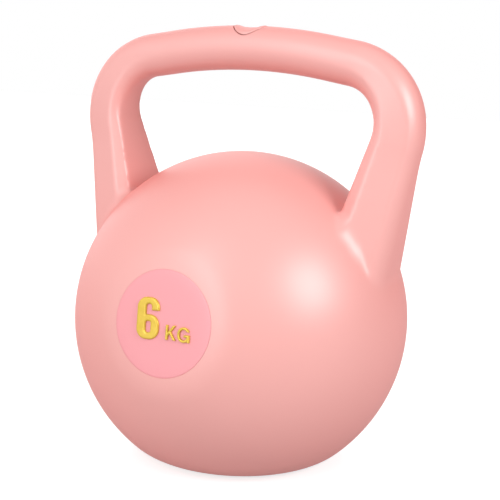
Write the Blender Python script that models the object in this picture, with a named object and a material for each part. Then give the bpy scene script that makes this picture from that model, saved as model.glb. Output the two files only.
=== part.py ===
"""A filled plastic kettlebell, standing on its flat base.

The origin is on the floor under the ball's centre. +Z is up, the handle runs along X, and the
weight label faces -Y. Lengths are in metres.

A blow-moulded shell holds one block of set ballast. The ballast goes in through a hole in the top
of the handle, and a plug closes it. A round label with raised gold characters sits in a facet.
"""

import math

import bmesh
import bpy
from mathutils import Vector

MM = 0.001

# Ball: a sphere with a flat base, and a round facet on its front and its back.
BALL_RADIUS = 87.5 * MM
BALL_CENTRE_Z = 71.4 * MM
BASE_FILLET = 25.5 * MM
FACET_RISE = math.radians(9.0)
FACET_RADIUS = 25.7 * MM

# Handle: an arched bar, two round corners, and two legs that lean in and widen towards the ball.
BAR_CENTRE_Z = 211.7 * MM
BAR_ARC_RADIUS = 268.5 * MM
BAR_HALF_LENGTH = 56.3 * MM
CORNER_RADIUS = 26.9 * MM
LEG_LEAN = math.radians(21.3)
LEG_LENGTH = 80.0 * MM

# Cross-section at each station: half width across the handle's plane, half depth along Y, how far
# the centre line has drifted outwards, and the corner radius on the inner and on the outer side.
BAR_SECTION = (11.2 * MM, 10.9 * MM, 0.0, 10.9 * MM, 10.9 * MM)
LEG_TOP_SECTION = (10.9 * MM, 13.9 * MM, 5.4 * MM, 4.9 * MM, 7.5 * MM)
LEG_FOOT_SECTION = (16.2 * MM, 26.6 * MM, 17.0 * MM, 7.4 * MM, 11.3 * MM)

# Walls and fits
WALL = 3.0 * MM
GAP = 0.3 * MM
LABEL_THICKNESS = 1.0 * MM
CHARACTER_HEIGHT = 1.0 * MM

# Plug: a cap in a shallow seat, and a stem that fills the hole through the wall.
PLUG_SEAT_RADIUS = 9.0 * MM
PLUG_SEAT_DEPTH = 1.6 * MM
FILL_HOLE_RADIUS = 6.0 * MM
DISH_RADIUS = 6.0 * MM
DISH_DEPTH = 0.7 * MM

# Characters, as (left, bottom, width, height) on the label, from the label's centre
SIX_BOX = (-14.4 * MM, -8.1 * MM, 12.5 * MM, 19.8 * MM)
K_BOX = (1.9 * MM, -7.1 * MM, 5.1 * MM, 7.3 * MM)
G_BOX = (8.0 * MM, -7.2 * MM, 6.4 * MM, 7.6 * MM)

# Facets on the round shapes, coarser on the hidden ones
FINE = {"around": 56, "levels": 14, "corner": 5, "bar": 4, "bend": 8, "leg": 5}
COARSE = {"around": 32, "levels": 8, "corner": 4, "bar": 3, "bend": 6, "leg": 4}

FACET_DISTANCE = math.sqrt(BALL_RADIUS**2 - FACET_RADIUS**2)
LABEL_SEAT_DISTANCE = FACET_DISTANCE - LABEL_THICKNESS - GAP
CORNER_START = math.asin(BAR_HALF_LENGTH / BAR_ARC_RADIUS)
CORNER_END = math.pi / 2 + LEG_LEAN
BAR_LENGTH = BAR_ARC_RADIUS * CORNER_START
CORNER_LENGTH = CORNER_RADIUS * (CORNER_END - CORNER_START)
BAR_TOP_Z = BAR_CENTRE_Z + BAR_SECTION[0]


def clear_scene():
    for old in list(bpy.data.objects):
        bpy.data.objects.remove(old, do_unlink=True)


def material(name, colour, roughness, metallic=0.0):
    made = bpy.data.materials.new(name)
    made.use_nodes = True
    shader = made.node_tree.nodes["Principled BSDF"]
    shader.inputs["Base Color"].default_value = (*colour, 1.0)
    shader.inputs["Roughness"].default_value = roughness
    shader.inputs["Metallic"].default_value = metallic
    return made


def add_object(name, bm, finish=None):
    """Puts the mesh in the scene under this name. Without a finish it is a hidden cutter."""
    bmesh.ops.recalc_face_normals(bm, faces=bm.faces)
    mesh = bpy.data.meshes.new(name)
    bm.to_mesh(mesh)
    bm.free()
    made = bpy.data.objects.new(name, mesh)
    bpy.context.scene.collection.objects.link(made)
    if finish is None:
        made.hide_render = True
        made.display_type = "WIRE"
    else:
        mesh.materials.append(finish)
    return made


def boolean(target, other, operation):
    step = target.modifiers.new(f"{operation.lower()} {other.name}", "BOOLEAN")
    step.operation = operation
    step.solver = "EXACT"
    step.object = other


def loft(rings, start, end):
    """A closed body through rings of equal count, with each end closed by a fan to a point."""
    bm = bmesh.new()
    loops = [[bm.verts.new(point) for point in ring] for ring in rings]
    for lower, upper in zip(loops, loops[1:]):
        for i in range(len(lower)):
            j = (i + 1) % len(lower)
            bm.faces.new((lower[i], lower[j], upper[j], upper[i]))
    for loop, point in ((loops[0], start), (loops[-1], end)):
        tip = bm.verts.new(point)
        for i in range(len(loop)):
            bm.faces.new((loop[i], loop[(i + 1) % len(loop)], tip))
    return bm


def prism(outline, low, high):
    """An outline in the XY plane, extruded from one height to the other."""
    bm = bmesh.new()
    face = bm.faces.new([bm.verts.new((x, y, low)) for x, y in outline])
    top = bmesh.ops.extrude_face_region(bm, geom=[face])
    lifted = [item for item in top["geom"] if isinstance(item, bmesh.types.BMVert)]
    bmesh.ops.translate(bm, verts=lifted, vec=(0, 0, high - low))
    return bm


def cylinder(radius, low, high, sides=40):
    outline = [
        (radius * math.cos(math.tau * i / sides), radius * math.sin(math.tau * i / sides))
        for i in range(sides)
    ]
    return prism(outline, low, high)


def rounded_box(left, bottom, width, height, radius, steps=5, left_radius=None):
    """The outline of a rectangle with round corners, anticlockwise."""
    right_radius = min(radius, width / 2, height / 2)
    left_radius = right_radius if left_radius is None else left_radius
    right, top = left + width, bottom + height
    corners = (
        (right - right_radius, top - right_radius, right_radius),
        (left + left_radius, top - left_radius, left_radius),
        (left + left_radius, bottom + left_radius, left_radius),
        (right - right_radius, bottom + right_radius, right_radius),
    )
    points = []
    for quarter, (x, y, radius) in enumerate(corners):
        for i in range(steps + 1):
            turn = math.pi / 2 * (quarter + i / steps)
            points.append((x + radius * math.cos(turn), y + radius * math.sin(turn)))
    return points


def ball_profile(inset, levels):
    """(radius, height) from the base's edge up to the last ring below the top of the ball."""
    radius = BALL_RADIUS - inset
    fillet = BASE_FILLET - inset
    centre_r = math.sqrt((BALL_RADIUS - BASE_FILLET) ** 2 - (BALL_CENTRE_Z - BASE_FILLET) ** 2)
    join = math.atan2(BALL_CENTRE_Z - BASE_FILLET, centre_r)
    steps = max(2, levels // 3)
    profile = []
    for i in range(steps):
        turn = -math.pi / 2 + (math.pi / 2 - join) * i / steps
        height = BASE_FILLET + fillet * math.sin(turn)
        profile.append((centre_r + fillet * math.cos(turn), height))
    for i in range(levels):
        turn = -join + (math.pi / 2 + join) * i / levels
        profile.append((radius * math.cos(turn), BALL_CENTRE_Z + radius * math.sin(turn)))
    return profile


def ball(inset, detail):
    rings = []
    for radius, height in ball_profile(inset, detail["levels"]):
        turns = [math.tau * i / detail["around"] for i in range(detail["around"])]
        rings.append([(radius * math.cos(t), radius * math.sin(t), height) for t in turns])
    top = (0, 0, BALL_CENTRE_Z + BALL_RADIUS - inset)
    return loft(rings, (0, 0, inset), top)


def guide(distance):
    """The point and the outward normal of the handle's guide line, this far from the middle."""
    arc_centre = Vector((0, 0, BAR_CENTRE_Z - BAR_ARC_RADIUS))
    if distance < BAR_LENGTH:
        turn = distance / BAR_ARC_RADIUS
        normal = Vector((math.sin(turn), 0, math.cos(turn)))
        return arc_centre + BAR_ARC_RADIUS * normal, normal
    start = Vector((math.sin(CORNER_START), 0, math.cos(CORNER_START)))
    corner_centre = arc_centre + (BAR_ARC_RADIUS - CORNER_RADIUS) * start
    turn = min(CORNER_START + (distance - BAR_LENGTH) / CORNER_RADIUS, CORNER_END)
    normal = Vector((math.sin(turn), 0, math.cos(turn)))
    past = max(0.0, distance - BAR_LENGTH - CORNER_LENGTH)
    along = Vector((-math.sin(LEG_LEAN), 0, -math.cos(LEG_LEAN)))
    return corner_centre + CORNER_RADIUS * normal + past * along, normal


def section(distance):
    """The cross-section's numbers, run evenly from one station to the next."""
    corner_part = min(max((distance - BAR_LENGTH) / CORNER_LENGTH, 0.0), 1.0)
    leg_part = max((distance - BAR_LENGTH - CORNER_LENGTH) / LEG_LENGTH, 0.0)
    if leg_part > 0:
        pair, part = (LEG_TOP_SECTION, LEG_FOOT_SECTION), leg_part
    else:
        pair, part = (BAR_SECTION, LEG_TOP_SECTION), corner_part
    return [a + (b - a) * part for a, b in zip(*pair)]


def handle_ring(distance, side, inset, corner):
    half_width, half_depth, drift, inner_radius, outer_radius = section(distance)
    point, normal = guide(distance)
    point = point + normal * drift
    width, depth = 2 * (half_width - inset), 2 * (half_depth - inset)
    radii = (outer_radius - inset, corner, inner_radius - inset)
    outline = rounded_box(-width / 2, -depth / 2, width, depth, *radii)
    ring = [point + normal * across + Vector((0, y, 0)) for across, y in outline]
    return [(side * p.x, p.y, p.z) for p in ring]


def handle(inset, detail):
    """The bar, both corners and both legs in one tube. The legs end inside the ball."""
    stations = [BAR_LENGTH * i / detail["bar"] for i in range(detail["bar"])]
    stations += [BAR_LENGTH + CORNER_LENGTH * i / detail["bend"] for i in range(detail["bend"])]
    leg_start = BAR_LENGTH + CORNER_LENGTH
    stations += [leg_start + LEG_LENGTH * i / detail["leg"] for i in range(detail["leg"] + 1)]
    left = [handle_ring(s, -1, inset, detail["corner"]) for s in reversed(stations)]
    right = [handle_ring(s, 1, inset, detail["corner"]) for s in stations[1:]]
    rings = left + right
    ends = [sum((Vector(p) for p in ring), Vector()) / len(ring) for ring in (rings[0], rings[-1])]
    return loft(rings, *ends)


def facet_axis():
    """An empty at the ball's centre, whose Z leaves through the middle of the front facet."""
    axis = bpy.data.objects.new("facet_axis", None)
    axis.location = (0, 0, BALL_CENTRE_Z)
    axis.rotation_euler = (math.pi / 2 - FACET_RISE, 0, 0)
    bpy.context.scene.collection.objects.link(axis)
    return axis


def facet_cutter(name, distance, radius, to_back=False):
    """A disc that takes away all that is further than this from the ball's centre."""
    cutter = add_object(name, cylinder(radius, distance, BALL_RADIUS + 10 * MM, sides=56))
    cutter.location = (0, 0, BALL_CENTRE_Z)
    tilt = math.pi / 2 - FACET_RISE
    cutter.rotation_euler = (-tilt if to_back else tilt, 0, 0)
    return cutter


def body(name, inset, detail, finish=None):
    """Ball and handle in one, all its faces moved in by the inset."""
    whole = add_object(name, ball(inset, detail), finish)
    boolean(whole, add_object(f"{name}_handle", handle(inset, detail)), "UNION")
    return whole


def flatten_inside(inner, inset):
    """Flats that keep an inner body clear of the facets on the front and the back."""
    distance = LABEL_SEAT_DISTANCE - inset
    for to_back in (False, True):
        side = "back" if to_back else "front"
        cutter = facet_cutter(f"{inner.name}_{side}_flat", distance, BALL_RADIUS, to_back)
        boolean(inner, cutter, "DIFFERENCE")


def make_shell():
    finish = material("shell_pink_plastic", (0.90, 0.47, 0.43), 0.38)
    shell = body("shell", 0.0, FINE, finish)
    pocket = facet_cutter("label_pocket", LABEL_SEAT_DISTANCE, FACET_RADIUS)
    back_facet = facet_cutter("back_facet", FACET_DISTANCE, FACET_RADIUS, True)
    cavity = body("cavity", WALL, COARSE)
    flatten_inside(cavity, WALL)
    fill_hole = add_object("fill_hole", cylinder(FILL_HOLE_RADIUS, BAR_CENTRE_Z, BAR_TOP_Z + WALL))
    seat = add_object("plug_seat", cylinder(PLUG_SEAT_RADIUS, BAR_CENTRE_Z, BAR_TOP_Z + WALL))
    boolean(seat, add_object("plug_seat_floor", handle(PLUG_SEAT_DEPTH, FINE)), "DIFFERENCE")
    for cutter in (pocket, back_facet, cavity, fill_hole, seat):
        boolean(shell, cutter, "DIFFERENCE")
    return shell


def make_ballast():
    finish = material("ballast_cement", (0.33, 0.32, 0.30), 0.9)
    ballast = body("ballast", WALL + GAP, COARSE, finish)
    flatten_inside(ballast, WALL + GAP)
    return ballast


def make_plug():
    """The cap follows the handle's surface, with a shallow dish in its middle."""
    finish = material("plug_pink_plastic", (0.90, 0.47, 0.43), 0.42)
    radius = PLUG_SEAT_RADIUS - GAP
    plug = add_object("fill_plug", cylinder(radius, BAR_CENTRE_Z, BAR_TOP_Z + WALL), finish)
    boolean(plug, add_object("plug_top", handle(0.0, FINE)), "INTERSECT")
    under = add_object("plug_underside", handle(PLUG_SEAT_DEPTH - GAP, FINE))
    boolean(plug, under, "DIFFERENCE")
    stem_low = BAR_TOP_Z - WALL + GAP
    stem_high = BAR_TOP_Z - PLUG_SEAT_DEPTH / 2
    stem = add_object("plug_stem", cylinder(FILL_HOLE_RADIUS - GAP, stem_low, stem_high))
    boolean(plug, stem, "UNION")
    dish_ball = (DISH_RADIUS**2 + DISH_DEPTH**2) / (2 * DISH_DEPTH)
    bm = bmesh.new()
    bmesh.ops.create_uvsphere(bm, u_segments=64, v_segments=48, radius=dish_ball)
    dish = add_object("plug_dish", bm)
    dish.location = (0, 0, BAR_TOP_Z - DISH_DEPTH + dish_ball)
    boolean(plug, dish, "DIFFERENCE")
    return plug


def make_label(axis):
    finish = material("label_rose_plastic", (0.92, 0.38, 0.42), 0.4)
    top = FACET_DISTANCE
    disc = cylinder(FACET_RADIUS - GAP, top - LABEL_THICKNESS, top, sides=56)
    label = add_object("weight_label", disc, finish)
    label.parent = axis
    return label


def character(name, outline, axis, finish):
    low = FACET_DISTANCE + GAP
    made = add_object(name, prism(outline, low, low + CHARACTER_HEIGHT), finish)
    made.parent = axis
    return made


def character_tool(name, outline, axis):
    """A prism through the whole height of a character, to cut it or to join it."""
    low = FACET_DISTANCE + GAP
    tool = add_object(name, prism(outline, low - CHARACTER_HEIGHT, low + 2 * CHARACTER_HEIGHT))
    tool.parent = axis
    return tool


def make_six(axis, finish):
    """A tall block numeral: a hook over the top and a closed bowl below."""
    left, bottom, width, height = SIX_BOX
    slot, stroke = 0.22 * width, 0.37 * width
    bowl_height = 0.59 * height
    six = character("numeral_6", rounded_box(*SIX_BOX, 0.45 * width), axis, finish)
    slot_left = left + stroke
    upper_slot = rounded_box(slot_left, bottom, slot, 0.82 * height, slot / 2)
    boolean(six, character_tool("six_upper_slot", upper_slot, axis), "DIFFERENCE")
    mouth_left = slot_left + slot / 2
    mouth = rounded_box(mouth_left, bottom, width, 0.67 * height, 0.04 * width)
    boolean(six, character_tool("six_mouth", mouth, axis), "DIFFERENCE")
    low = FACET_DISTANCE + GAP
    bowl_outline = rounded_box(left, bottom, width, bowl_height, 0.44 * width)
    bowl = add_object("six_bowl", prism(bowl_outline, low, low + CHARACTER_HEIGHT))
    bowl.parent = axis
    boolean(six, bowl, "UNION")
    counter = rounded_box(slot_left, bottom + 0.15 * height, slot, 0.32 * height, slot / 2)
    boolean(six, character_tool("six_counter", counter, axis), "DIFFERENCE")
    return six


def make_k(axis, finish):
    left, bottom, width, height = K_BOX
    corners = (
        (0.00, 0.00), (0.28, 0.00), (0.28, 0.33), (0.42, 0.46), (0.68, 0.00), (1.00, 0.00),
        (0.62, 0.62), (0.98, 1.00), (0.64, 1.00), (0.28, 0.60), (0.28, 1.00), (0.00, 1.00),
    )
    outline = [(left + width * x, bottom + height * y) for x, y in corners]
    return character("letter_k", outline, axis, finish)


def make_g(axis, finish):
    left, bottom, width, height = G_BOX
    stroke = 0.22 * width
    middle = bottom + height / 2
    letter = character("letter_g", rounded_box(*G_BOX, width / 2), axis, finish)
    inner_width, inner_height = width - 2 * stroke, height - 2 * stroke
    inner = rounded_box(left + stroke, bottom + stroke, inner_width, inner_height, width / 2)
    boolean(letter, character_tool("g_inner", inner, axis), "DIFFERENCE")
    gap = rounded_box(left + width / 2, middle, width, 0.2 * height, 0.02 * width)
    boolean(letter, character_tool("g_gap", gap, axis), "DIFFERENCE")
    low = FACET_DISTANCE + GAP
    bar_width = width / 2 - 0.02 * width
    bar_outline = rounded_box(left + width / 2, middle - stroke, bar_width, stroke, 0.02 * width)
    bar = add_object("g_bar", prism(bar_outline, low, low + CHARACTER_HEIGHT))
    bar.parent = axis
    boolean(letter, bar, "UNION")
    return letter


def shade(pieces):
    for piece in pieces:
        piece.data.shade_smooth()
        piece.data.set_sharp_from_angle(angle=math.radians(35))


def main():
    clear_scene()
    axis = facet_axis()
    gold = material("character_gold", (0.83, 0.62, 0.12), 0.3, 0.6)
    pieces = [make_shell(), make_ballast(), make_plug(), make_label(axis)]
    pieces += [make_six(axis, gold), make_k(axis, gold), make_g(axis, gold)]
    shade(pieces)


main()
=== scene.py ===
"""Looks of a filled plastic kettlebell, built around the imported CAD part.

The fine shapes are level surfaces of signed-distance formulas: a quad net is laid through a grid
where the formula changes sign, and its points are then moved onto the surface. Lengths in the
shape formulas are millimetres in the row frame: +Z up, the handle along X, the label facing -Y.
"""

from math import asin, cos, pi, radians, sin, sqrt, tau

import bmesh
import bpy
import numpy as np
from mathutils import Matrix, Vector


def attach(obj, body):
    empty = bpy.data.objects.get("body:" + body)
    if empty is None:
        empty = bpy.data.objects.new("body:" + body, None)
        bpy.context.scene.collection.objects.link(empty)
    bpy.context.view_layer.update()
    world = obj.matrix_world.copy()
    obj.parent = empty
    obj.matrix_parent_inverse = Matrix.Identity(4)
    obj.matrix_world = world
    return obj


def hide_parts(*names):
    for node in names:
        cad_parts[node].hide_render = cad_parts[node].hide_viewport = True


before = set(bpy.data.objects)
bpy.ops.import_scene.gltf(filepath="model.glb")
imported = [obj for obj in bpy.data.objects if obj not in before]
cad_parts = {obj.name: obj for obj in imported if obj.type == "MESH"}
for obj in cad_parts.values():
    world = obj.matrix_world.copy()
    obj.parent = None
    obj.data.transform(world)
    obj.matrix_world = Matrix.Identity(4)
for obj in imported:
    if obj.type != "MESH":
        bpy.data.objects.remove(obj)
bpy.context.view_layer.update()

MM = 0.001

# Ball: a sphere with a flat base and a fillet, and a round facet on its front and its back.
BALL_RADIUS = 87.5
BALL_CENTRE_Z = 71.4
BASE_FILLET = 25.5
FACET_RISE = radians(9.0)
FACET_RADIUS = 29.6
FACET_BLEND = 3.0

# Handle: an arched bar, two round corners, and two legs that lean in and widen towards the ball.
# A leg's section reaches its last size after LEG_LENGTH and ends, inside the ball, at LEG_END.
BAR_CENTRE_Z = 211.7
BAR_ARC_RADIUS = 268.5
BAR_HALF_LENGTH = 56.3
CORNER_RADIUS = 27.4
LEG_LEAN = radians(21.95)
LEG_LENGTH = 80.0
LEG_END = 90.0

# Sections of the handle at the bar, at a leg's top and at its foot: half sizes, the shift outwards
# from the guide line, and roundings as parts of the smaller half size
HALF_WIDTHS = (11.2, 11.5, 16.9)
HALF_DEPTHS = (10.9, 14.2, 29.5)
DRIFTS = (0.0, 5.8, 18.7)
INNER_ROUNDING = (1.0, 0.42, 0.42)
OUTER_ROUNDING = (1.0, 1.08, 1.1)
SMOOTHING = 10.0

# A leg's front turns outwards from a ridge, and a bevel turns inwards from it to the inner side.
FRONT_TURNS = (0.0, radians(13), radians(13))
BEVEL_TURNS = (0.0, radians(30), radians(30))
BEVEL_WIDTHS = (4.7, 4.9, 8.8)
RIDGE_BLEND = 3.0
FRONT_EDGE_BLEND = 1.0

# How softly a leg runs into the ball: on its sides, on its front and back, and at the inner
# corners. The turns run around the section, from 0 on its side to 90 degrees on its front.
SIDE_BLEND = 1.7
FACE_BLEND = 6.0
CORNER_BLEND = 7.5
INNER_TURN = (radians(28), radians(60))
CORNER_TURNS = (radians(15), radians(47), radians(88))
OUTER_TURN = (radians(50), radians(90))

WALL = 3.0

# Label: a disc in a pocket of the front facet, a little to the side and turned
POCKET_DEPTH = 1.3
LABEL_THICKNESS = 1.2
LABEL_RADIUS = 25.4
LABEL_GAP = 0.03
LABEL_SHIFT = 0.8
LABEL_TURN = radians(2.5)

# Characters: their outlines' lower left corners on the label, and their sizes
CHARACTER_HEIGHT = 1.1
SIX_CORNER, SIX_SIZE = (-13.6, -7.9), (12.0, 19.8)
K_CORNER, K_SIZE = (2.3, -7.2), (5.4, 7.0)
G_CORNER, G_SIZE = (8.6, -7.7), (6.4, 7.2)
SIX_ROUNDING, LETTER_ROUNDING = 0.9, 0.45
SIX_STEP, LETTER_STEP = 0.3, 0.18

# Plug: a cap in a seat around the fill hole, with a recess under its rim
SEAT_RADIUS = 9.0
SEAT_DEPTH = 1.6
PLUG_GAP = 0.3
PLUG_RECESS = 0.7
CAP_THICKNESS = 1.4
FILL_HOLE_RADIUS = 6.0

# Spacing of the grids, and the box that they fill
SHELL_STEP = 1.5
CAVITY_STEP = 3.5
GRID_LOW = (-99.0, -91.0, -3.0)
GRID_HIGH = (99.0, 91.0, 228.0)

FACET_DISTANCE = sqrt(BALL_RADIUS**2 - FACET_RADIUS**2)
CORNER_START = asin(BAR_HALF_LENGTH / BAR_ARC_RADIUS)
CORNER_END = pi / 2 + LEG_LEAN
CORNER_REACH = BAR_ARC_RADIUS - CORNER_RADIUS
BAR_ARC_CENTRE = (0.0, BAR_CENTRE_Z - BAR_ARC_RADIUS)
CORNER_CENTRE = (
    CORNER_REACH * sin(CORNER_START), BAR_ARC_CENTRE[1] + CORNER_REACH * cos(CORNER_START))
LEG_TOP = (
    CORNER_CENTRE[0] + CORNER_RADIUS * sin(CORNER_END),
    CORNER_CENTRE[1] + CORNER_RADIUS * cos(CORNER_END))
BAR_LENGTH = BAR_ARC_RADIUS * CORNER_START
CORNER_LENGTH = CORNER_RADIUS * (CORNER_END - CORNER_START)
STATIONS = (BAR_LENGTH, BAR_LENGTH + CORNER_LENGTH, BAR_LENGTH + CORNER_LENGTH + LEG_LENGTH)

# Colours of the plastics where they face the eye, their pink lightened as painted haze, and the
# deeper colours of painted edge shade that they turn to at their edges
PINK, PINK_EDGE_SHADE = (0.88, 0.41, 0.38), (0.91, 0.25, 0.22)
ROSE, ROSE_EDGE_SHADE = (0.90, 0.33, 0.36), (0.91, 0.20, 0.22)
PINK_ROUGHNESS, ROSE_ROUGHNESS = 0.40, 0.42

# The studio: its even light, its glows (azimuth, elevation, spread in degrees, strength), and the
# light added to the floor as the camera and as reflections see it
GLOOM = 0.34
GLOWS = ((-60, 8, 60, 0.95), (15, 20, 50, 0.35), (0, 85, 40, 0.35), (-140, 10, 50, 1.2))
FLOOR_LIFT = 0.72
FLOOR_GLINT = 0.27


# ---- shape formulas: negative inside, about the distance in millimetres outside

def soft_max(a, b, width):
    """The larger of two fields, with the edge between them rounded over about this width."""
    near = np.maximum(width - np.abs(a - b), 0.0)
    return np.maximum(a, b) + near * near / (4 * np.maximum(width, 1e-6))


def soft_min(a, b, width):
    """The smaller of two fields, with the edge between them filled over about this width."""
    return -soft_max(-a, -b, width)


def smooth_step(value, low, high):
    """0 up to low and 1 from high on, with a smooth rise between."""
    part = np.clip((value - low) / (high - low), 0.0, 1.0)
    return part * part * (3 - 2 * part)


def rounded(across, along, rounding):
    """Distance to a corner whose two sides meet at the origin, rounded inside."""
    x, y = across + rounding, along + rounding
    outside = np.hypot(np.maximum(x, 0.0), np.maximum(y, 0.0))
    return outside + np.minimum(np.maximum(x, y), 0.0) - rounding


def round_box(across, along, half_width, half_depth, rounding):
    """A rectangle with round corners around the origin."""
    return rounded(np.abs(across) - half_width, np.abs(along) - half_depth, rounding)


def side_section(outwards, depth, half_width, half_depth, inner, outer):
    """A rectangle whose corners have one rounding on the window's side and one outside."""
    facing_out = outwards > (inner - outer) / 2
    across = np.where(facing_out, outwards, -outwards) - half_width
    return rounded(across, depth - half_depth, np.where(facing_out, outer, inner))


def front_section(out_of_ridge, depth, front_turn, bevel_turn):
    """Two faces that meet in a ridge at depth 0: the front outside of it, the bevel inside."""
    front = depth * np.cos(front_turn) + out_of_ridge * np.sin(front_turn)
    bevel = depth * np.cos(bevel_turn) - out_of_ridge * np.sin(bevel_turn)
    return soft_max(front, bevel, RIDGE_BLEND * np.sin(front_turn))


def ball_field(x, y, z):
    """The sphere, with its facets, the fillet and the flat base."""
    across = np.hypot(x, y)
    drop = BALL_CENTRE_Z - BASE_FILLET
    flat = sqrt((BALL_RADIUS - BASE_FILLET) ** 2 - drop**2)
    sphere = np.hypot(across, z - BALL_CENTRE_Z) - BALL_RADIUS
    fillet = np.hypot(across - flat, z - BASE_FILLET) - BASE_FILLET
    on_sphere = flat * (z - BALL_CENTRE_Z) + drop * across > 0
    ball = np.where(on_sphere, sphere, np.where(across < flat, -z, fillet))
    height = np.abs(y) * cos(FACET_RISE) + (z - BALL_CENTRE_Z) * sin(FACET_RISE)
    return soft_max(ball, height - FACET_DISTANCE, FACET_BLEND)


def arc_place(x, z, centre, radius, start, end):
    """Gap to an arc, the side of it, and how far along it, from the top, the nearest point is."""
    dx, dz = x - centre[0], z - centre[1]
    turn = np.clip(np.arctan2(dx, dz), start, end)
    gap = np.hypot(dx - radius * np.sin(turn), dz - radius * np.cos(turn))
    return gap, np.hypot(dx, dz) - radius, radius * (turn - start)


def leg_place(x, z):
    """The same for a leg's straight guide line."""
    dx, dz = x - LEG_TOP[0], z - LEG_TOP[1]
    down = np.clip(-dx * sin(LEG_LEAN) - dz * cos(LEG_LEAN), 0.0, LEG_END)
    gap = np.hypot(dx + down * sin(LEG_LEAN), dz + down * cos(LEG_LEAN))
    return gap, dx * cos(LEG_LEAN) - dz * sin(LEG_LEAN), down


def handle_place(x, z):
    """How far outside of the handle's guide line a point lies, and where along the line.

    The line has three stretches, and the one nearest to the point counts.
    """
    places = (
        arc_place(x, z, BAR_ARC_CENTRE, BAR_ARC_RADIUS, 0.0, CORNER_START),
        arc_place(x, z, CORNER_CENTRE, CORNER_RADIUS, CORNER_START, CORNER_END),
        leg_place(x, z),
    )
    stacks = [np.stack(parts) for parts in zip(*places)]
    nearest = np.argmin(stacks[0], 0)[None]
    gap, side, run = (np.take_along_axis(stack, nearest, 0)[0] for stack in stacks)
    starts = np.array((0.0, *STATIONS[:2]))
    return np.sign(side) * gap, starts[nearest[0]] + run


def along_handle(along, values):
    """Values at the stations, joined by straight runs whose bends are smoothed."""
    offsets = (-SMOOTHING, -SMOOTHING / 2, 0.0, SMOOTHING / 2, SMOOTHING)
    return sum(np.interp(along + offset, STATIONS, values) for offset in offsets) / len(offsets)


def inner_blend(facing):
    """Blend width on the window side, widest where the inner corner turns to the front."""
    start, middle, end = CORNER_TURNS
    at_corner = smooth_step(facing, start, middle) * (1 - smooth_step(facing, middle, end))
    on_face = smooth_step(facing, *INNER_TURN)
    return (SIDE_BLEND + (FACE_BLEND - SIDE_BLEND) * on_face
            + (CORNER_BLEND - FACE_BLEND) * at_corner)


def outer_blend(facing):
    """Blend width on the side away from the window."""
    return SIDE_BLEND + (FACE_BLEND - SIDE_BLEND) * smooth_step(facing, *OUTER_TURN)


def handle_field(x, y, z):
    """The handle, and how softly it runs into the ball."""
    outwards, along = handle_place(x, z)
    outwards = outwards - along_handle(along, DRIFTS)
    half_width = along_handle(along, HALF_WIDTHS)
    half_depth = along_handle(along, HALF_DEPTHS)
    thickness = np.minimum(half_width, half_depth)
    inner = thickness * along_handle(along, INNER_ROUNDING)
    outer = np.minimum(thickness * along_handle(along, OUTER_ROUNDING), half_depth)
    sides = side_section(outwards, y, half_width, half_depth, inner, outer)
    ridge = along_handle(along, BEVEL_WIDTHS) - half_width
    turn = along_handle(along, FRONT_TURNS)
    bevel_turn = along_handle(along, BEVEL_TURNS)
    front = front_section(outwards - ridge, y - half_depth, turn, bevel_turn)
    handle = soft_max(sides, front, FRONT_EDGE_BLEND * np.sin(turn))
    facing = np.arctan2(y / half_depth, np.abs(outwards) / half_width + 1e-9)
    return handle, np.where(outwards < 0, inner_blend(facing), outer_blend(facing))


def body_field(points):
    """Ball and handle in one, above the floor."""
    x, y, z = np.abs(points[..., 0]), np.abs(points[..., 1]), points[..., 2]
    handle, blend = handle_field(x, y, z)
    return np.maximum(soft_min(ball_field(x, y, z), handle, blend), -z)


def inner_field(points):
    """The body less its wall."""
    return body_field(points) + WALL


# ---- meshes from formulas

def sample(field, axes):
    """The field on a grid, one layer at a time."""
    layers = []
    for x in axes[0]:
        layer = np.stack(np.meshgrid([x], axes[1], axes[2], indexing="ij"), -1)[0]
        layers.append(field(layer))
    return np.stack(layers)


def crossed_cells(inside):
    """The cells whose corners are neither all inside nor all outside."""
    sizes = [n - 1 for n in inside.shape]
    corners = np.zeros(sizes, int)
    for i, j, k in np.ndindex(2, 2, 2):
        corners += inside[i:i + sizes[0], j:j + sizes[1], k:k + sizes[2]]
    return (corners > 0) & (corners < 8)


def surface_net(field, low, high, step):
    """Points and outward quads close to the surface where the field is zero.

    Each cell that the surface crosses gets one point, and each grid edge that it crosses gets a
    quad between the points of the four cells around it. The surface must lie inside the grid.
    """
    axes = [np.arange(a, b + step, step) for a, b in zip(low, high)]
    inside = sample(field, axes) < 0
    crossed = crossed_cells(inside)
    number = np.full(crossed.shape, -1)
    number[crossed] = np.arange(crossed.sum())
    points = (np.argwhere(crossed) + 0.5) * step + np.array(low)
    quads = []
    for axis in range(3):
        count = crossed.shape[axis]
        before = np.take(inside, range(count), axis)
        after = np.take(inside, range(1, count + 1), axis)
        u, v = np.roll(np.eye(3, dtype=int), -axis - 1, 0)[:2]
        for leaving in (True, False):
            cell = np.argwhere((before != after) & (before == leaving))
            loop = (cell - u - v, cell - v, cell, cell - u)
            loop = loop if leaving else loop[::-1]
            quads.append(np.stack([number[tuple(c.T)] for c in loop], 1))
    return points, np.concatenate(quads)


def settle(points, field, rounds=5):
    """Moves points along the field's slope onto its zero surface."""
    nudge = 0.02
    for _ in range(rounds):
        value = field(points)
        slope = np.empty_like(points)
        for axis, step in enumerate(np.eye(3) * nudge):
            slope[:, axis] = (field(points + step) - field(points - step)) / (2 * nudge)
        steepness = np.maximum((slope * slope).sum(1), 0.25)
        points = points - slope * (value / steepness)[:, None]
    return points


def relax(points, quads):
    """Moves each point to the middle of its neighbours."""
    starts = quads.ravel()
    ends = np.roll(quads, -1, 1).ravel()
    count = np.bincount(starts, minlength=len(points))
    sums = [np.bincount(starts, points[ends, axis], len(points)) for axis in range(3)]
    return np.stack(sums, 1) / count[:, None]


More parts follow.
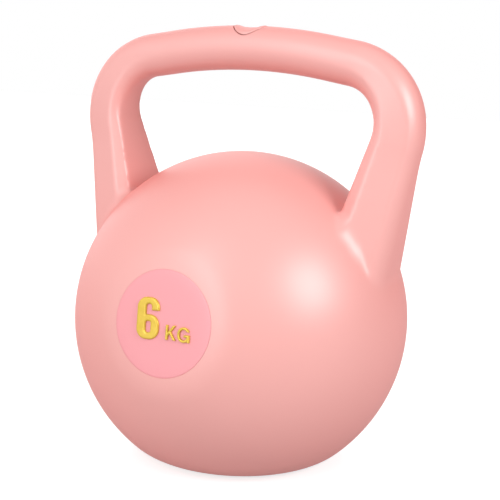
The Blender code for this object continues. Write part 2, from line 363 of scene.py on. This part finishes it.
def level_surface(field, low, high, step, rounds=3):
    """The surface where the field is zero, with evenly spread points."""
    points, quads = surface_net(field, low, high, step)
    points = settle(points, field)
    for _ in range(rounds):
        points = settle(relax(points, quads), field, 2)
    return points, quads


def make_mesh(name, points, faces, place=Matrix.Identity(4)):
    """A mesh object from points in millimetres and faces, with smooth shading."""
    mesh = bpy.data.meshes.new(name)
    mesh.from_pydata((np.asarray(points) * MM).tolist(), [], [list(map(int, f)) for f in faces])
    mesh.transform(place)
    mesh.shade_smooth()
    made = bpy.data.objects.new(name, mesh)
    bpy.context.scene.collection.objects.link(made)
    return made


def turned(profile, height_at, sides=128):
    """A closed round body, from its middle below to its middle above.

    The profile holds (radius, lift, 1 or 0): with 1 the lift is added to the height there.
    """
    points, faces = [], []
    turns = [tau * i / sides for i in range(sides)]
    for radius, lift, follows in profile:
        for turn in turns:
            x, y = radius * cos(turn), radius * sin(turn)
            points.append((x, y, lift + follows * height_at(x, y)))
    for ring in range(len(profile) - 1):
        for i in range(sides):
            j = (i + 1) % sides
            a, b = ring * sides, (ring + 1) * sides
            faces.append((a + i, a + j, b + j, b + i))
    for ring, order in ((0, 1), (len(profile) - 1, -1)):
        loop = [ring * sides + i for i in range(sides)]
        faces.append(loop[::-order])
    return points, faces


# ---- the pieces

def flat_height(x, y):
    """A level face, whatever the place."""
    return 0.0


def facet_height(x, y):
    """How far the facet's surface, soft towards its edge, lies above its plane."""
    sphere = sqrt(BALL_RADIUS**2 - x**2 - y**2) - FACET_DISTANCE
    return -max(FACET_BLEND - sphere, 0.0) ** 2 / (4 * FACET_BLEND)


def bar_top(x, y):
    """Height of the bar's upper surface."""
    rounding = HALF_DEPTHS[0]
    outwards = HALF_WIDTHS[0] - rounding + sqrt(max(rounding**2 - y**2, 0.0))
    return BAR_ARC_CENTRE[1] + sqrt((BAR_ARC_RADIUS + outwards) ** 2 - x**2)


def label_place():
    """From the label's own frame, with +Z leaving the facet, to the row frame."""
    centre = Matrix.Translation((-LABEL_SHIFT * MM, 0, BALL_CENTRE_Z * MM))
    tilt = Matrix.Rotation(pi / 2 - FACET_RISE, 4, "X")
    lift = Matrix.Translation((0, 0, FACET_DISTANCE * MM))
    return centre @ tilt @ lift @ Matrix.Rotation(LABEL_TURN, 4, "Z")


def merge_slivers(mesh):
    """Merges points closer than a few microns, which the cuts leave behind."""
    near = 0.005 * MM
    work = bmesh.new()
    work.from_mesh(mesh)
    bmesh.ops.remove_doubles(work, verts=work.verts, dist=near)
    bmesh.ops.dissolve_degenerate(work, edges=work.edges, dist=near)
    work.to_mesh(mesh)
    work.free()


def subtract(target, cutters):
    """Cuts the cutters out of the target, for good, and removes them."""
    for cutter in cutters:
        step = target.modifiers.new(cutter.name, "BOOLEAN")
        step.operation = "DIFFERENCE"
        step.solver = "EXACT"
        step.object = cutter
    view = bpy.context.evaluated_depsgraph_get()
    cut = bpy.data.meshes.new_from_object(target.evaluated_get(view))
    merge_slivers(cut)
    target.modifiers.clear()
    old, target.data = target.data, cut
    cut.name = old.name = target.name
    bpy.data.meshes.remove(old)
    for cutter in cutters:
        bpy.data.objects.remove(cutter)


def make_pocket():
    """The cutter for the label's pocket, with a small rounding at its edge."""
    radius = LABEL_RADIUS + LABEL_GAP
    profile = [
        (radius, -POCKET_DEPTH, 1), (radius, -0.1, 1), (LABEL_RADIUS + 0.1, 0.02, 1),
        (LABEL_RADIUS + 0.2, 4.0, 1)]
    return make_mesh("pocket", *turned(profile, facet_height), place=label_place())


def make_seat():
    """The cutter for the plug's seat, with a soft edge on the bar."""
    profile = [
        (SEAT_RADIUS, -SEAT_DEPTH, 1), (SEAT_RADIUS, -0.35, 1), (SEAT_RADIUS + 0.12, -0.12, 1),
        (SEAT_RADIUS + 0.4, 0.03, 1), (SEAT_RADIUS + 0.6, 3.0, 1)]
    return make_mesh("seat", *turned(profile, bar_top))


def make_hole():
    """The cutter for the fill hole, from the bar's middle to above it."""
    profile = [(FILL_HOLE_RADIUS, BAR_CENTRE_Z, 0), (FILL_HOLE_RADIUS, BAR_CENTRE_Z + 15, 0)]
    return make_mesh("hole", *turned(profile, flat_height))


def make_shell():
    """The moulded skin, hollow inside and cut for the label, the plug and the fill hole."""
    skin = level_surface(body_field, GRID_LOW, GRID_HIGH, SHELL_STEP)
    inside = level_surface(inner_field, GRID_LOW, GRID_HIGH, CAVITY_STEP)
    shell = make_mesh("shell_skin", *skin)
    cavity = make_mesh("cavity", *inside)
    subtract(shell, [cavity, make_pocket(), make_seat(), make_hole()])
    return shell


def make_label():
    """The disc, whose top follows the soft facet ring by ring."""
    rim = LABEL_RADIUS
    under = [
        (0.5, -LABEL_THICKNESS, 0), (rim - 0.2, -LABEL_THICKNESS, 1),
        (rim, -LABEL_THICKNESS + 0.2, 1)]
    edge = [(rim, -0.1, 1), (rim - 0.03, -0.03, 1), (rim - 0.1, 0.0, 1)]
    top = [(rim * part, 0.0, 1) for part in (0.97, 0.93, 0.88, 0.8, 0.7, 0.5, 0.25, 0.02)]
    return make_mesh("label_disc", *turned(under + edge + top, facet_height), place=label_place())


def make_plug():
    """A stem in the fill hole, and a cap with a recess, a raised rim and a dish."""
    rim = SEAT_RADIUS - PLUG_GAP
    neck = rim - PLUG_RECESS
    stem_radius = FILL_HOLE_RADIUS - PLUG_GAP
    stem = [(0.3, -WALL, 1), (stem_radius, -WALL, 1), (stem_radius, -CAP_THICKNESS, 1)]
    recess = [(neck, -CAP_THICKNESS, 1), (neck, -0.5, 1), (rim - 0.1, -0.36, 1)]
    raised_rim = [
        (rim, -0.2, 1), (rim - 0.1, 0.1, 1), (rim - 0.4, 0.24, 1), (rim - 0.8, 0.28, 1),
        (rim - 1.3, 0.2, 1)]
    dish = [
        (rim - 2.2, -0.1, 1), (rim - 3.5, -0.5, 1), (rim - 5.0, -0.75, 1), (rim - 7.0, -0.85, 1),
        (0.3, -0.9, 1)]
    return make_mesh("plug_cap", *turned(stem + recess + raised_rim + dish, bar_top))


def six_outline(u, v):
    """A bold 6: a tall loop with an open mouth, and a bowl with its counter."""
    outer = round_box(u - 6.0, v - 9.9, 6.0, 9.9, 5.0)
    slot = round_box(u - 6.3, v - 10.0, 1.4, 6.6, 1.3)
    mouth = np.maximum(np.maximum(6.3 - u, v - 13.6), 5.0 - v)
    hook = np.maximum(outer, -np.minimum(slot, mouth))
    bowl = round_box(u - 6.0, v - 5.85, 6.0, 5.85, 4.9)
    counter = round_box(u - 6.2, v - 5.9, 1.35, 2.6, 1.0)
    return soft_max(soft_min(hook, bowl, 0.2), -counter, 0.2)


def stroke(u, v, start, end, half_width):
    """A straight stroke with square ends."""
    along = np.array(end, float) - np.array(start, float)
    length = np.hypot(*along)
    along /= length
    du, dv = u - start[0], v - start[1]
    forward = du * along[0] + dv * along[1] - length / 2
    return round_box(forward, dv * along[0] - du * along[1], length / 2, half_width, 0.1)


def k_outline(u, v):
    """A K from three strokes, cut off level at its top and foot."""
    stem = stroke(u, v, (0.6, 0.0), (0.6, 7.0), 0.6)
    arm = stroke(u, v, (0.9, 2.3), (4.9, 7.4), 0.58)
    leg = stroke(u, v, (2.1, 4.0), (5.0, -0.4), 0.58)
    letter = np.minimum(stem, np.minimum(arm, leg))
    return np.maximum(letter, np.abs(v - 3.5) - 3.5)


def g_outline(u, v):
    """A G: an open ring with a bar and a post."""
    ring = np.abs(round_box(u - 3.2, v - 3.6, 2.6, 3.0, 2.6)) - 0.6
    gap = np.maximum(np.maximum(3.6 - u, v - 5.0), 3.7 - v)
    ring = np.maximum(ring, -gap)
    bar = round_box(u - 4.9, v - 3.1, 1.5, 0.6, 0.1)
    post = round_box(u - 5.8, v - 1.9, 0.6, 1.8, 0.1)
    return np.minimum(ring, np.minimum(bar, post))


def raised(outline, rounding):
    """A field for a character that stands on the label with a round upper edge."""
    def field(points):
        side = outline(points[..., 0], points[..., 1]) + rounding
        top = points[..., 2] - CHARACTER_HEIGHT + rounding
        outside = np.hypot(np.maximum(side, 0.0), np.maximum(top, 0.0))
        upper = outside + np.minimum(np.maximum(side, top), 0.0) - rounding
        return np.maximum(upper, -points[..., 2])
    return field


def make_character(name, outline, corner, size, rounding, step):
    """A raised character whose outline's lower left corner lies at this place on the label."""
    low = (-1.0, -1.0, -0.6)
    high = (size[0] + 1.0, size[1] + 1.0, CHARACTER_HEIGHT + 0.6)
    points, quads = level_surface(raised(outline, rounding), low, high, step)
    points = points + np.array((*corner, 0.0))
    return make_mesh(name, points, quads, place=label_place())


# ---- materials

def new_material(name):
    """A material with its nodes and links."""
    made = bpy.data.materials.new(name)
    made.use_nodes = True
    return made, made.node_tree.nodes, made.node_tree.links


def object_noise(nodes, links, size, detail=3.0):
    """Noise fixed to the piece, with features of about this size in metres."""
    place = nodes.new("ShaderNodeTexCoord")
    noise = nodes.new("ShaderNodeTexNoise")
    noise.inputs["Scale"].default_value = 1.0 / size
    noise.inputs["Detail"].default_value = detail
    links.new(place.outputs["Object"], noise.inputs["Vector"])
    return noise.outputs["Fac"]


def mixed(nodes, links, factor, first, second):
    """A colour between two; each is a socket or three numbers."""
    mix = nodes.new("ShaderNodeMix")
    mix.data_type = "RGBA"
    links.new(factor, mix.inputs["Factor"])
    for slot, colour in (("A", first), ("B", second)):
        if isinstance(colour, tuple):
            mix.inputs[slot].default_value = (*colour, 1.0)
        else:
            links.new(colour, mix.inputs[slot])
    return mix.outputs["Result"]


def ranged(nodes, links, value, low, high, start=0.0, end=1.0):
    """The value, taken from start..end to low..high."""
    scale = nodes.new("ShaderNodeMapRange")
    scale.inputs["From Min"].default_value = start
    scale.inputs["From Max"].default_value = end
    scale.inputs["To Min"].default_value = low
    scale.inputs["To Max"].default_value = high
    links.new(value, scale.inputs["Value"])
    return scale.outputs["Result"]


def roughen(nodes, links, height, depth, strength):
    """Relief of this depth in metres on the shader's surface."""
    bump = nodes.new("ShaderNodeBump")
    bump.inputs["Strength"].default_value = strength
    bump.inputs["Distance"].default_value = depth
    links.new(height, bump.inputs["Height"])
    links.new(bump.outputs["Normal"], nodes["Principled BSDF"].inputs["Normal"])


def edge_shade_factor(nodes, links):
    """0 where the surface faces the eye, 1 at its edges: the mask of the painted haze and edge
    shade.
    """
    weight = nodes.new("ShaderNodeLayerWeight")
    weight.inputs["Blend"].default_value = 0.5
    square = nodes.new("ShaderNodeMath")
    square.operation = "POWER"
    square.inputs[1].default_value = 2.0
    links.new(weight.outputs["Facing"], square.inputs[0])
    return square.outputs["Value"]


def moulded_plastic(name, face, edge, roughness):
    """Satin plastic with painted haze where it faces the eye and painted shade deepening towards
    its edges.
    """
    made, nodes, links = new_material(name)
    shader = nodes["Principled BSDF"]
    shader.inputs["Specular IOR Level"].default_value = 1.0
    slow = object_noise(nodes, links, 0.05)
    fine = object_noise(nodes, links, 0.0006, 4.0)
    darker = tuple(0.975 * part for part in face)
    clouded = mixed(nodes, links, slow, face, darker)
    # painted haze and edge shade: by the viewing angle, the colour goes from the paler face colour
    # to the deeper edge colour
    colour = mixed(nodes, links, edge_shade_factor(nodes, links), clouded, edge)
    links.new(colour, shader.inputs["Base Color"])
    gloss = ranged(nodes, links, fine, roughness - 0.03, roughness + 0.03)
    links.new(gloss, shader.inputs["Roughness"])
    roughen(nodes, links, fine, 0.01 * MM, 0.1)
    return made


def gold_paint(name):
    """Gold paint with fine flakes, a little uneven in gloss."""
    made, nodes, links = new_material(name)
    shader = nodes["Principled BSDF"]
    shader.inputs["Metallic"].default_value = 0.35
    flakes = object_noise(nodes, links, 0.0003, 2.0)
    slow = object_noise(nodes, links, 0.006)
    light, deep = (0.80, 0.56, 0.085), (0.68, 0.46, 0.05)
    colour = mixed(nodes, links, ranged(nodes, links, slow, 0.0, 1.0, 0.3, 0.7), light, deep)
    links.new(colour, shader.inputs["Base Color"])
    links.new(ranged(nodes, links, flakes, 0.28, 0.42), shader.inputs["Roughness"])
    roughen(nodes, links, flakes, 0.01 * MM, 0.15)
    return made


def cement(name):
    """Set cement with sand grains and small pits."""
    made, nodes, links = new_material(name)
    shader = nodes["Principled BSDF"]
    place = nodes.new("ShaderNodeTexCoord")
    grains = nodes.new("ShaderNodeTexVoronoi")
    grains.inputs["Scale"].default_value = 700.0
    links.new(place.outputs["Object"], grains.inputs["Vector"])
    slow = object_noise(nodes, links, 0.02)
    paste = mixed(nodes, links, slow, (0.36, 0.35, 0.33), (0.27, 0.26, 0.24))
    sand = ranged(nodes, links, grains.outputs["Distance"], 0.5, 0.0, 0.1, 0.5)
    links.new(mixed(nodes, links, sand, paste, (0.42, 0.38, 0.31)), shader.inputs["Base Color"])
    links.new(ranged(nodes, links, slow, 0.85, 0.97), shader.inputs["Roughness"])
    roughen(nodes, links, grains.outputs["Distance"], 0.3 * MM, 0.6)
    return made


def finish_piece(piece, material, node):
    """Gives a piece its material, ties it to the body and hides the CAD node's own part."""
    piece.data.materials.clear()
    piece.data.materials.append(material)
    piece.data.set_sharp_from_angle(angle=radians(32))
    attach(piece, "root")
    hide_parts(node)


# ---- the room

def aim(thing, position, target):
    """Puts a thing somewhere, facing the target."""
    thing.location = position
    thing.rotation_euler = (Vector(target) - Vector(position)).to_track_quat("-Z", "Y").to_euler()


def from_target(azimuth, elevation, distance, target):
    """A place around the target; azimuth 0 is in front, on -Y, and 90 on +X."""
    flat = cos(elevation)
    back = Vector((sin(azimuth) * flat, -cos(azimuth) * flat, sin(elevation)))
    return Vector(target) + back * distance


def make_camera():
    """The photo's view: its direction, its distance and a slight roll."""
    azimuth, elevation, roll = radians(25.82), radians(10.51), radians(2.05)
    right = Vector((cos(azimuth), sin(azimuth), 0.0))
    back = from_target(azimuth, elevation, 1.0, (0, 0, 0))
    up = back.cross(right)
    position = right * 3.35 * MM + Vector((0, 0, 107.1 * MM)) + back * 577.5 * MM
    rolled = right * cos(roll) + up * sin(roll)
    rolled_up = up * cos(roll) - right * sin(roll)
    data = bpy.data.cameras.new("camera")
    data.sensor_width = 36.0
    data.lens = 78.97
    camera = bpy.data.objects.new("camera", data)
    turn = Matrix((rolled, rolled_up, back)).transposed().to_4x4()
    camera.matrix_world = Matrix.Translation(position) @ turn
    bpy.context.scene.collection.objects.link(camera)
    bpy.context.scene.camera = camera


def make_light(name, azimuth, elevation, width, height, radiance):
    """A soft box a metre away from the object."""
    data = bpy.data.lights.new(name, "AREA")
    data.shape = "RECTANGLE"
    data.size, data.size_y = width, height
    data.energy = radiance * pi * width * height
    light = bpy.data.objects.new(name, data)
    target = (0, 0, 0.1)
    aim(light, from_target(radians(azimuth), radians(elevation), 1.0, target), target)
    bpy.context.scene.collection.objects.link(light)


def glow(nodes, links, azimuth, elevation, spread, strength):
    """A wide soft glow of the studio around one direction."""
    place = nodes.new("ShaderNodeTexCoord")
    towards = nodes.new("ShaderNodeVectorMath")
    towards.operation = "DOT_PRODUCT"
    centre = from_target(radians(azimuth), radians(elevation), 1.0, (0, 0, 0))
    towards.inputs[1].default_value = centre
    links.new(place.outputs["Generated"], towards.inputs[0])
    fade = nodes.new("ShaderNodeMapRange")
    fade.interpolation_type = "SMOOTHSTEP"
    fade.inputs["From Min"].default_value = cos(radians(spread))
    fade.inputs["To Max"].default_value = strength
    links.new(towards.outputs["Value"], fade.inputs["Value"])
    return fade.outputs["Result"]


def added(nodes, links, values, constant):
    """The sum of the values and a constant."""
    total = None
    for value in values:
        add = nodes.new("ShaderNodeMath")
        add.operation = "ADD"
        add.inputs[1].default_value = constant
        if total is not None:
            links.new(total, add.inputs[1])
        links.new(value, add.inputs[0])
        total = add.outputs["Value"]
    return total


def for_camera(nodes, links, others, seen):
    """One value for the camera's own rays and another for all the rest."""
    path = nodes.new("ShaderNodeLightPath")
    mix = nodes.new("ShaderNodeMix")
    links.new(path.outputs["Is Camera Ray"], mix.inputs["Factor"])
    if isinstance(others, float):
        mix.inputs["A"].default_value = others
    else:
        links.new(others, mix.inputs["A"])
    mix.inputs["B"].default_value = seen
    return mix.outputs["Result"]


def make_world():
    """The studio's light, and plain white where the camera looks past the floor."""
    world = bpy.data.worlds.new("studio")
    bpy.context.scene.world = world
    world.use_nodes = True
    nodes, links = world.node_tree.nodes, world.node_tree.links
    glows = [glow(nodes, links, *place) for place in GLOWS]
    light = added(nodes, links, glows, GLOOM)
    nodes["Background"].inputs["Color"].default_value = (1, 1, 1, 1)
    links.new(for_camera(nodes, links, light, 1.0), nodes["Background"].inputs["Strength"])


def make_floor():
    """A pale floor, 6 m square."""
    half = 3.0 / MM
    corners = [(-half, -half, 0), (half, -half, 0), (half, half, 0), (-half, half, 0)]
    floor = make_mesh("floor", corners, [(0, 1, 2, 3)])
    made, nodes, links = new_material("floor_paint")
    shader = nodes["Principled BSDF"]
    shader.inputs["Base Color"].default_value = (0.5, 0.49, 0.49, 1)
    shader.inputs["Roughness"].default_value = 0.25
    shader.inputs["Specular IOR Level"].default_value = 0.1
    shader.inputs["Emission Color"].default_value = (1, 1, 1, 1)
    path = nodes.new("ShaderNodeLightPath")
    glint = ranged(nodes, links, path.outputs["Is Glossy Ray"], 0.0, FLOOR_GLINT)
    links.new(for_camera(nodes, links, glint, FLOOR_LIFT), shader.inputs["Emission Strength"])
    floor.data.materials.append(made)


def make_room():
    """The floor, the studio's light and a large and a narrow soft box."""
    make_world()
    make_floor()
    make_light("right_box", 76, 27, 0.45, 0.45, 8.6)
    make_light("front_box", -10, 24, 0.35, 1.0, 3.3)
    bpy.context.scene.view_settings.view_transform = "Standard"


# both plastics carry painted haze and painted edge shade in their base colour
pink = moulded_plastic("pink_plastic", PINK, PINK_EDGE_SHADE, PINK_ROUGHNESS)
rose = moulded_plastic("rose_plastic", ROSE, ROSE_EDGE_SHADE, ROSE_ROUGHNESS)
gold = gold_paint("gold_paint")
finish_piece(make_shell(), pink, "shell")
finish_piece(make_plug(), pink, "fill_plug")
finish_piece(make_label(), rose, "weight_label")
six = make_character("raised_6", six_outline, SIX_CORNER, SIX_SIZE, SIX_ROUNDING, SIX_STEP)
finish_piece(six, gold, "numeral_6")
letter_k = make_character("raised_k", k_outline, K_CORNER, K_SIZE, LETTER_ROUNDING, LETTER_STEP)
finish_piece(letter_k, gold, "letter_k")
letter_g = make_character("raised_g", g_outline, G_CORNER, G_SIZE, LETTER_ROUNDING, LETTER_STEP)
finish_piece(letter_g, gold, "letter_g")
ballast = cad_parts["ballast"]
ballast.data.materials.clear()
ballast.data.materials.append(cement("cement"))

make_room()
make_camera()
